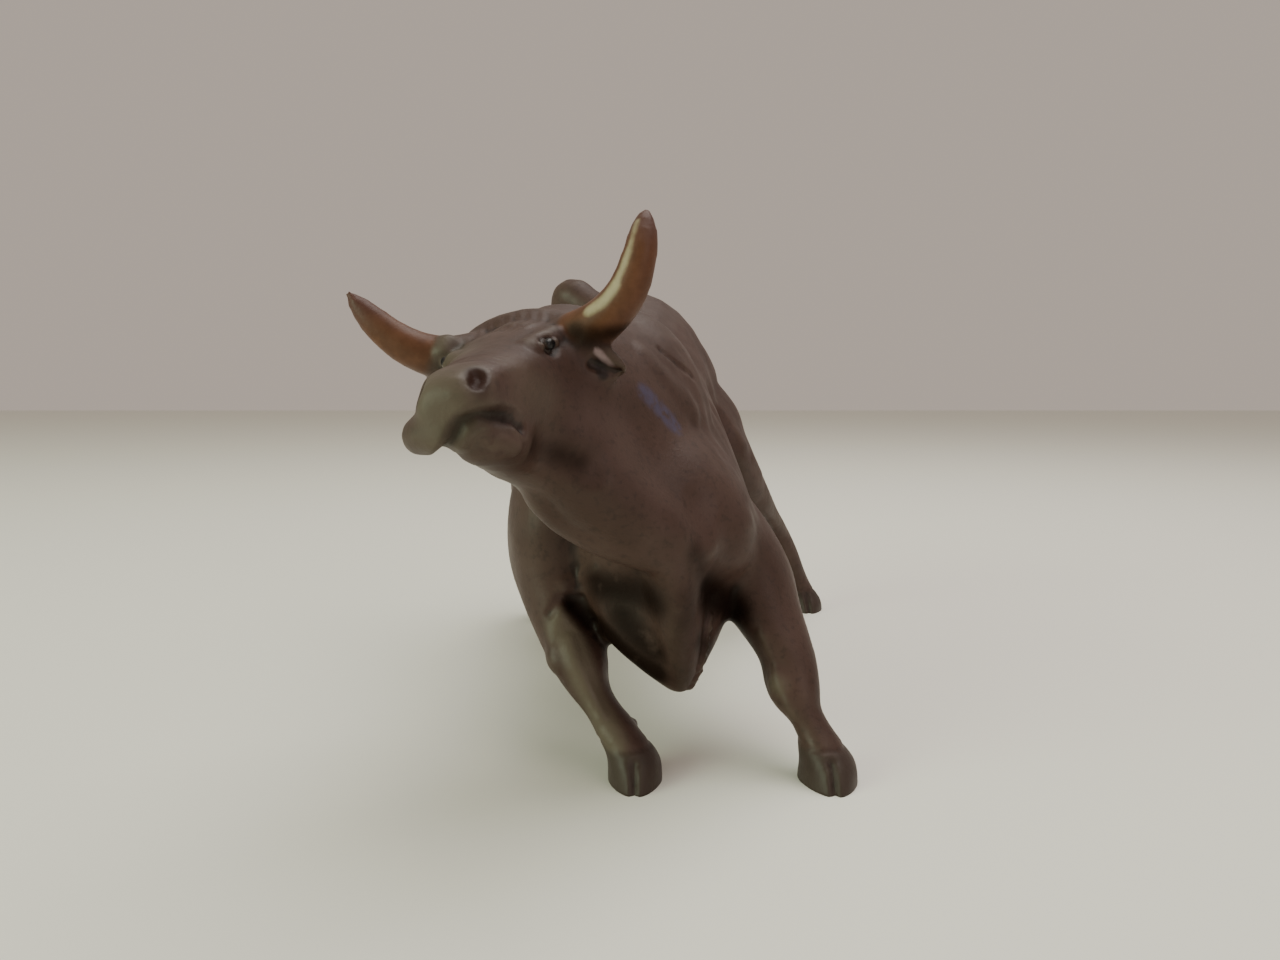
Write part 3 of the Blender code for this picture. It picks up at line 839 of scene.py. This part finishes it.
def carve_legs(skin):
    """Folds over the right foreleg, knees, shins, soft rims over the hooves and the spurs behind."""
    stroke(skin, [(-13.1, -42.7, 31.9), (-10.2, -41.7, 33.2), (-7.3, -45.3, 35)], 2, -0.4)
    stroke(skin, [(-15.4, -43.6, 27), (-13.6, -43.2, 29.4), (-11, -42.8, 29.6)], 1.5, 0.5)
    stroke(skin, [(-14.9, -44.8, 22.8), (-14.4, -44.3, 25.4), (-13.2, -43.8, 27.4)], 2.6, -0.4)
    stroke(skin, [(-11.2, -42.8, 28.4), (-8.6, -42.5, 25.7)], 3, 0.8)
    stroke(skin, [(-14.4, -44.6, 19)], 3.2, -0.7)
    stroke(skin, [(22.8, -46.8, 16.6)], 3.2, -0.7)
    stroke(skin, [(-12.3, -45.3, 22.9), (-10.1, -47.5, 17.5), (-6.7, -49.1, 11.1)], 2, -0.4)
    stroke(skin, [(20, -46, 24), (25.6, -49, 11)], 1.5, -0.3)
    for x, y, reach in ((-2.6, -47.8, 5), (30.6, -48, 5), (46.4, 69.8, 5), (-25.6, 59.2, 5)):
        turns = np.linspace(0, 2 * np.pi, 25)
        rim = [(x + reach * np.cos(turn), y + reach * np.sin(turn), HOOF_HEIGHT) for turn in turns]
        soften(skin, rim, 4, 6)
        stroke(skin, rim, 0.8, 0.15)
        for hand in (-1, 1):
            stroke(skin, [(x + hand * 2.2, y + 4.6, HOOF_HEIGHT + 2)], 1.6, -0.8)
    for x, y, z in ((39.4, 69, 24), (-27.4, 66, 24)):
        stroke(skin, [(x, y, z), (x + 1, y + 1, z - 10)], 1.6, -0.4)


def carve_tuft(skin):
    """Strands of hair down the tail's tuft."""
    for turn in np.linspace(0, 2 * np.pi, 10)[:-1]:
        across, back = np.cos(turn), np.sin(turn)
        strand = [
            (-22.5 + 2.6 * across, 60 + 2.6 * back, 61),
            (-22 + 3.4 * across, 57.5 + 3.4 * back, 52),
            (-22.4 + 1.6 * across, 56.3 + 1.6 * back, 44),
        ]
        stroke(skin, strand, 0.8, 0.35)


def fine_skin():
    """The whole animal, carved finely, in its laying-out steps."""
    masses = bmesh.new()
    for part in (trunk, neck, brisket, forelegs, hind_legs, tail, head, ears, horns):
        part(masses)
    bmesh.ops.recalc_face_normals(masses, faces=masses.faces[:])
    block = bpy.data.meshes.new("block")
    masses.to_mesh(block)
    masses.free()
    skin = skin_over(block, "skin")
    even_chest(skin)
    skin = subdivided(skin)
    finer_head(skin)
    for carve in (
        carve_face,
        carve_eyes,
        carve_muzzle,
        carve_ears,
        carve_brow_hair,
        carve_horn_tips,
        carve_neck,
        carve_dewlap,
        carve_flanks,
        carve_hooves,
        carve_legs,
        carve_tuft,
    ):
        carve(skin)
    return skin


def finish_mesh(skin):
    """Thin the flat stretches and level the soles."""
    skin = thinned(skin, "bull_skin")
    mesh = bmesh.new()
    mesh.from_mesh(skin)
    level_soles(mesh)
    levelled = bpy.data.meshes.new("bull_skin")
    mesh.to_mesh(levelled)
    mesh.free()
    return levelled


def brushed(mesh, name, strokes):
    """Keep where brushes of a radius and a load of paint went along their paths, as a mask."""
    places = column(mesh.vertices, "co")
    values = np.max([nearness(places, path, radius) * load for path, radius, load in strokes], axis=0)
    mask = mesh.attributes.new(name, "FLOAT", "POINT")
    mask.data.foreach_set("value", values)


def mask_hollows(mesh):
    """How hollow the surface is at each place: half where flat, more in a crease."""
    places = column(mesh.vertices, "co")
    normals = column(mesh.vertices, "normal")
    ends, others = edge_ends(mesh)
    run = places[others] - places[ends]
    bend = (run * normals[ends]).sum(1) / np.maximum((run * run).sum(1), 1e-6)
    neighbours = np.maximum(np.bincount(ends, minlength=len(places)), 1)
    hollow = np.bincount(ends, bend, len(places)) / neighbours
    for number in range(6):
        hollow = 0.4 * hollow + 0.6 * np.bincount(ends, hollow[others], len(places)) / neighbours
    mask = mesh.attributes.new("hollow", "FLOAT", "POINT")
    mask.data.foreach_set("value", np.clip(0.5 + hollow * 1.2, 0, 1))


def mask_horns(mesh):
    """The horns, their tips, and the stroke of cream up the inside of the left one."""
    right, left = [[station[:3] for station in stations] for stations in horn_paths()]
    left_above_root = [(-8.4, -55.4, 75.2), *left[1:]]
    brushed(mesh, "horns", [(right[2:], HORN_BRUSH, 1), (left_above_root, HORN_BRUSH, 1)])
    brushed(mesh, "horn_tips", [(right[-1:], TIP_BRUSH, 1), (left[-1:], TIP_BRUSH, 1)])
    root = [(-7.6, -59, 77.4), (-5.2, -60.9, 78.8), (-3.6, -61.9, 81)]
    middle = [(-3.6, -61.9, 81), (-2.3, -62.2, 84), (-1.6, -62, 86)]
    top = [(-1.6, -62, 86), (-0.9, -61.4, 88), (-0.3, -60.3, 90.4)]
    brushed(mesh, "cream", [(root, 2, 1), (middle, 1.5, 0.9), (top, 1.2, 0.7)])


def mask_shade(mesh):
    """Painted shade where the figure's own shade falls: armpits, under the dewlap and jaw, mouth, nostril,
    left horn's root; in the armpits it stands for the toy's airbrushed darkening as well.
    """
    fold = [(-11.2, -42.8, 28.4), (-8.6, -42.5, 25.7)]
    right_armpit = [(-6.4, -44.5, 24.6), (-4.4, -46.6, 23.4), (2.5, -50.2, 18.9)]
    panel = [(-6.8, -45.3, 32.4), (-2.5, -48.4, 31.9), (2.4, -54, 31.9)]
    low_panel = [(-3, -48.4, 28), (0, -50, 24.2), (2.5, -51, 22.8)]
    keel = [(7.9, -56.3, 32.5), (6.1, -55.4, 25.8), (6.6, -51.7, 18)]
    left_armpit = [(10.6, -51.7, 33), (13.6, -45.1, 29.8), (16.5, -41.7, 27.2)]
    breast = [(8.6, -57, 40), (10, -53.5, 35)]
    keel_side = [(9.8, -51.7, 24.7), (11.8, -46.5, 21.5)]
    jaw = [(-14, -70.5, 57.6), (-11.6, -66.5, 56.2), (-8.7, -65.7, 55.2)]
    mouth = [(-23.5, -84.2, 60.5), (-21.4, -84.1, 62.2), (-19.2, -81.9, 62.7), (-17.5, -79.5, 62)]
    horn_root = [(-9.8, -58, 74.2), (-8.2, -58.9, 73.4), (-5.5, -59.4, 73.4), (-2.8, -58.4, 74.4)]
    nostril = [head_point(*NOSTRIL[0]), head_point(*NOSTRIL[-1])]
    brushed(
        mesh,
        "shade",
        [
            (nostril, 2.6, 0.75),
            (fold, 3.2, 1),
            (right_armpit, 5, 1),
            (panel, 6.5, 0.8),
            (low_panel, 6.5, 0.8),
            (keel, 5, 0.45),
            (left_armpit, 6, 0.95),
            (breast, 4, 0.5),
            (keel_side, 4, 0.6),
            (jaw, 3.6, 0.6),
            (mouth, 3.2, 0.5),
            (horn_root, 3.3, 0.78),
        ],
    )


def mask_painted_light(mesh):
    """Painted light: lighter paint where light falls on the right shin, the left knee, both fore hooves
    and the cheek.
    """
    shin = [
        (-13.4, -44.3, 25),
        (-11.3, -45.3, 22.5),
        (-9.2, -47.5, 17.2),
        (-6.2, -49.1, 11),
        (-4.4, -51.5, 6.8),
    ]
    cheek = [head_point(25, 6.5, -9), head_point(20, 8.5, -12)]
    knee = [(23.7, -47.2, 15.6)]
    right_hoof = [(-5.5, -51.5, 7), (-3.5, -53.5, 3)]
    left_hoof = [(30.8, -54.6, 3.3)]
    brushed(
        mesh,
        "painted_light",
        [
            (shin, 4.6, 1),
            (knee, 3.4, 0.7),
            (right_hoof, 6, 0.6),
            (left_hoof, 2.4, 0.6),
            (cheek, 9, 0.45),
        ],
    )


def masks(mesh):
    """All masks of the paint, while the figure is still in its laying-out steps."""
    mask_horns(mesh)
    mask_shade(mesh)
    mask_painted_light(mesh)
    mask_hollows(mesh)
    eyes = both_sides([(EYE_FORWARD, EYE_SIDE, -EYE_DROP)])
    nose = [(-26, -84, 66.5), (-24, -85, 62)]
    far_brow = [(-29.5, -57.8, 72), (-26.7, -65.4, 70)]
    ear_rim_highlight = [(-6.3, -59, 71.4), (-4.2, -58.6, 68.9)]
    ear_hollow_shade = [(-5.9, -58.7, 69.4), (-5.4, -58.4, 68)]
    smear = [(0.9, -50.4, 65), (3.9, -48.4, 61.8), (6, -46.8, 59.4)]
    brushed(mesh, "eyes", [(eye, 2.4, 1) for eye in eyes])
    brushed(mesh, "nostrils", [(nostril, 2.6, 1) for nostril in both_sides(NOSTRIL)])
    # Painted light on the muzzle and the far brow, where the window's light falls.
    brushed(mesh, "muzzle", [(nose, 9, 1), (far_brow, 6, 0.8)])
    # Painted highlight on the ear's rim and painted shade in its hollow.
    brushed(mesh, "ear_rim_highlight", [(ear_rim_highlight, 1.1, 0.9)])
    brushed(mesh, "ear_hollow_shade", [(ear_hollow_shade, 1.7, 1)])
    brushed(mesh, "smear", [(smear, 2.6, 1)])


def add(tree, kind, **values):
    """A shader node with its settings and input values."""
    made = tree.nodes.new(kind)
    for name, value in values.items():
        if name in made.inputs:
            made.inputs[name].default_value = value
        else:
            setattr(made, name, value)
    return made


def speckle(tree, place, size, detail):
    """Grey clouds about 'size' metres across."""
    made = add(tree, "ShaderNodeTexNoise", Scale=1 / size, Detail=detail)
    tree.links.new(place, made.inputs["Vector"])
    return made.outputs["Fac"]


def between(tree, value, low, high):
    """Nought below 'low', one above 'high', eased between."""
    made = add(tree, "ShaderNodeMapRange", interpolation_type="SMOOTHSTEP")
    made.inputs["From Min"].default_value = low
    made.inputs["From Max"].default_value = high
    tree.links.new(value, made.inputs["Value"])
    return made.outputs["Result"]


def over(tree, mask, under, colour):
    """One colour over another where the mask says."""
    made = add(tree, "ShaderNodeMix", data_type="RGBA")
    tree.links.new(mask, made.inputs["Factor"])
    for socket, source in ((made.inputs[UNDER_SOCKET], under), (made.inputs[OVER_SOCKET], colour)):
        if isinstance(source, tuple):
            socket.default_value = source
        else:
            tree.links.new(source, socket)
    return made.outputs[MIXED_SOCKET]


def times(tree, first, second):
    """Two greys multiplied."""
    made = add(tree, "ShaderNodeMath", operation="MULTIPLY")
    for socket, source in zip(made.inputs, (first, second)):
        if isinstance(source, (int, float)):
            socket.default_value = source
        else:
            tree.links.new(source, socket)
    return made.outputs["Value"]


def mask_of(tree, name):
    """A painted mask of the mesh."""
    return add(tree, "ShaderNodeAttribute", attribute_name=name).outputs["Fac"]


def height_of(tree, place):
    """Height above the ground, in metres."""
    parts = add(tree, "ShaderNodeSeparateXYZ")
    tree.links.new(place, parts.inputs["Vector"])
    return parts.outputs["Z"]


def brown_coat(tree, place):
    """Dark brown plastic, clouded and grained, darker in hollows and worn on ridges, with painted light on
    the shin, knee, fore hooves, cheek and muzzle.
    """
    clouds = between(tree, speckle(tree, place, CLOUD_SIZE, 4), 0.36, 0.64)
    colour = over(tree, clouds, BROWN, BROWN_LIGHT)
    grain = between(tree, speckle(tree, place, GRAIN_SIZE, 3), 0.5, 0.72)
    colour = over(tree, times(tree, grain, 0.35), colour, BROWN_DARK)
    hollow = mask_of(tree, "hollow")
    colour = over(tree, times(tree, between(tree, hollow, 0.46, 0.32), 0.2), colour, WORN_AND_LIT)
    colour = over(tree, times(tree, between(tree, hollow, 0.53, 0.7), 0.8), colour, BROWN_DARK)
    # Painted light on the right shin, the left knee, the fore hooves and the cheek.
    painted_light = between(tree, mask_of(tree, "painted_light"), 0.05, 1.0)
    colour = over(tree, times(tree, painted_light, 0.75), colour, WORN_AND_LIT)
    # Painted light: the muzzle and far brow greyer and lighter.
    colour = over(tree, times(tree, mask_of(tree, "muzzle"), 0.45), colour, PAINTED_LIGHT_GREY)
    hoof = between(tree, height_of(tree, place), HOOF_PAINT_END, HOOF_PAINT_FULL)
    return over(tree, times(tree, hoof, 0.7), colour, HOOF_BROWN)


def horn_coat(tree, place, colour):
    """Orange brown horns with duller tips, and a cream stroke up the inside of the left one."""
    streaks = between(tree, speckle(tree, place, STREAK_SIZE, 3), 0.3, 0.75)
    horn = over(tree, streaks, HORN_ORANGE, HORN_LIGHT)
    horn = over(tree, between(tree, mask_of(tree, "horn_tips"), 0.05, 0.9), horn, HORN_TIP)
    ragged = times(tree, speckle(tree, place, RAGGED_SIZE, 2), 0.35)
    edge = add(tree, "ShaderNodeMath", operation="ADD")
    tree.links.new(ragged, edge.inputs[0])
    tree.links.new(mask_of(tree, "cream"), edge.inputs[1])
    horn = over(tree, times(tree, between(tree, edge.outputs["Value"], 0.42, 1.3), 0.8), horn, HORN_CREAM)
    return over(tree, between(tree, mask_of(tree, "horns"), 0.06, 0.34), colour, horn)


def painted_shade(tree, place):
    """How thick the painted shade lies, a little uneven."""
    uneven = between(tree, speckle(tree, place, UNEVEN_SHADE_SIZE, 3), 0.1, 0.45)
    return times(tree, between(tree, mask_of(tree, "shade"), 0.0, 0.95), uneven)


def small_marks(tree, place, colour):
    """Nostrils, a painted highlight on the ear's rim, painted shade in the ear's hollow, and a bluish
    smear on the neck.
    """
    nostril = between(tree, mask_of(tree, "nostrils"), 0.1, 0.8)
    colour = over(tree, times(tree, nostril, 0.9), colour, NOSTRIL_RED)
    # Painted shade in the ear's hollow and a painted highlight on its rim.
    ear_hollow_shade = between(tree, mask_of(tree, "ear_hollow_shade"), 0.1, 0.8)
    colour = over(tree, times(tree, ear_hollow_shade, 0.8), colour, SHADE_BLACK)
    ear_rim_highlight = between(tree, mask_of(tree, "ear_rim_highlight"), 0.1, 0.9)
    colour = over(tree, times(tree, ear_rim_highlight, 0.85), colour, LILAC_HIGHLIGHT)
    broken = between(tree, speckle(tree, place, SMEAR_SIZE, 3), 0.25, 0.6)
    smear = times(tree, between(tree, mask_of(tree, "smear"), 0.02, 0.8), broken)
    return over(tree, times(tree, smear, 0.7), colour, SMEAR_BLUE)


def painted_plastic():
    """The whole paint of the figure: satin brown with painted light and painted shade, horns, glossy eyes
    and small marks.
    """
    material = bpy.data.materials.new("painted_plastic")
    material.use_nodes = True
    tree = material.node_tree
    shader = tree.nodes["Principled BSDF"]
    place = add(tree, "ShaderNodeTexCoord").outputs["Object"]
    shade_load = painted_shade(tree, place)
    colour = horn_coat(tree, place, brown_coat(tree, place))
    # Painted shade: near black laid over the colour where the shade mask lies.
    colour = small_marks(tree, place, over(tree, times(tree, shade_load, 0.92), colour, SHADE_BLACK))
    gloss = between(tree, speckle(tree, place, GLOSS_SIZE, 3), 0.3, 0.7)
    roughness = over(tree, gloss, ROUGH_SATIN, ROUGH_MATT)
    eye = between(tree, mask_of(tree, "eyes"), 0.3, 0.6)
    colour = over(tree, eye, colour, EYE_BLACK)
    roughness = over(tree, eye, roughness, ROUGH_EYE)
    tree.links.new(colour, shader.inputs["Base Color"])
    tree.links.new(roughness, shader.inputs["Roughness"])
    # Less gloss where the painted shade lies.
    tree.links.new(over(tree, shade_load, GLOSS_PLAIN, GLOSS_SHADED), shader.inputs["Specular IOR Level"])
    bump = add(tree, "ShaderNodeBump", Strength=0.35, Distance=PORE_DEPTH)
    tree.links.new(speckle(tree, place, PORE_SIZE, 4), bump.inputs["Height"])
    tree.links.new(bump.outputs["Normal"], shader.inputs["Normal"])
    return material


def make_bull():
    """The carved and painted figure, standing for the solid."""
    mesh = finish_mesh(fine_skin())
    masks(mesh)
    centred(mesh)
    mesh.shade_smooth()
    mesh.materials.append(painted_plastic())
    bull = placed("bull_skin", mesh)
    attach(bull, "root")
    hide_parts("bull")


def floor():
    """A plain pale floor."""
    mesh = bpy.data.meshes.new("floor")
    corners = [(-1, -1), (1, -1), (1, 1), (-1, 1)]
    mesh.from_pydata([(x * FLOOR_HALF, y * FLOOR_HALF, 0) for x, y in corners], [], [(0, 1, 2, 3)])
    ground = placed("floor", mesh)
    material = bpy.data.materials.new("pale_floor")
    material.use_nodes = True
    shader = material.node_tree.nodes["Principled BSDF"]
    shader.inputs["Base Color"].default_value = FLOOR_COLOUR
    shader.inputs["Roughness"].default_value = ROUGH_FLOOR
    mesh.materials.append(material)


def soft_light(name, place, width, power, colour):
    """A square soft box aimed at the middle of the figure."""
    lamp = bpy.data.lights.new(name, "AREA")
    lamp.size = width
    lamp.energy = power
    lamp.color = colour
    stand = placed(name, lamp)
    stand.location = place
    aim = Vector(LAMP_AIM) - Vector(place)
    stand.rotation_euler = aim.to_track_quat("-Z", "Y").to_euler()


def studio():
    """Even sky and the soft boxes."""
    world = bpy.data.worlds.new("sky")
    world.use_nodes = True
    sky = world.node_tree.nodes["Background"]
    sky.inputs["Color"].default_value = SKY_COLOUR
    sky.inputs["Strength"].default_value = SKY_STRENGTH
    bpy.context.scene.world = world
    for lamp in LAMPS:
        soft_light(*lamp)


def camera():
    """The photograph's viewpoint."""
    lens = bpy.data.cameras.new("camera")
    lens.lens = CAMERA_LENS
    lens.sensor_width = CAMERA_SENSOR
    lens.clip_start = CAMERA_NEAR
    viewer = placed("camera", lens)
    viewer.location = CAMERA_PLACE
    viewer.rotation_euler = (radians(90 - CAMERA_TILT), 0, 0)
    bpy.context.scene.camera = viewer


make_bull()
floor()
studio()
camera()
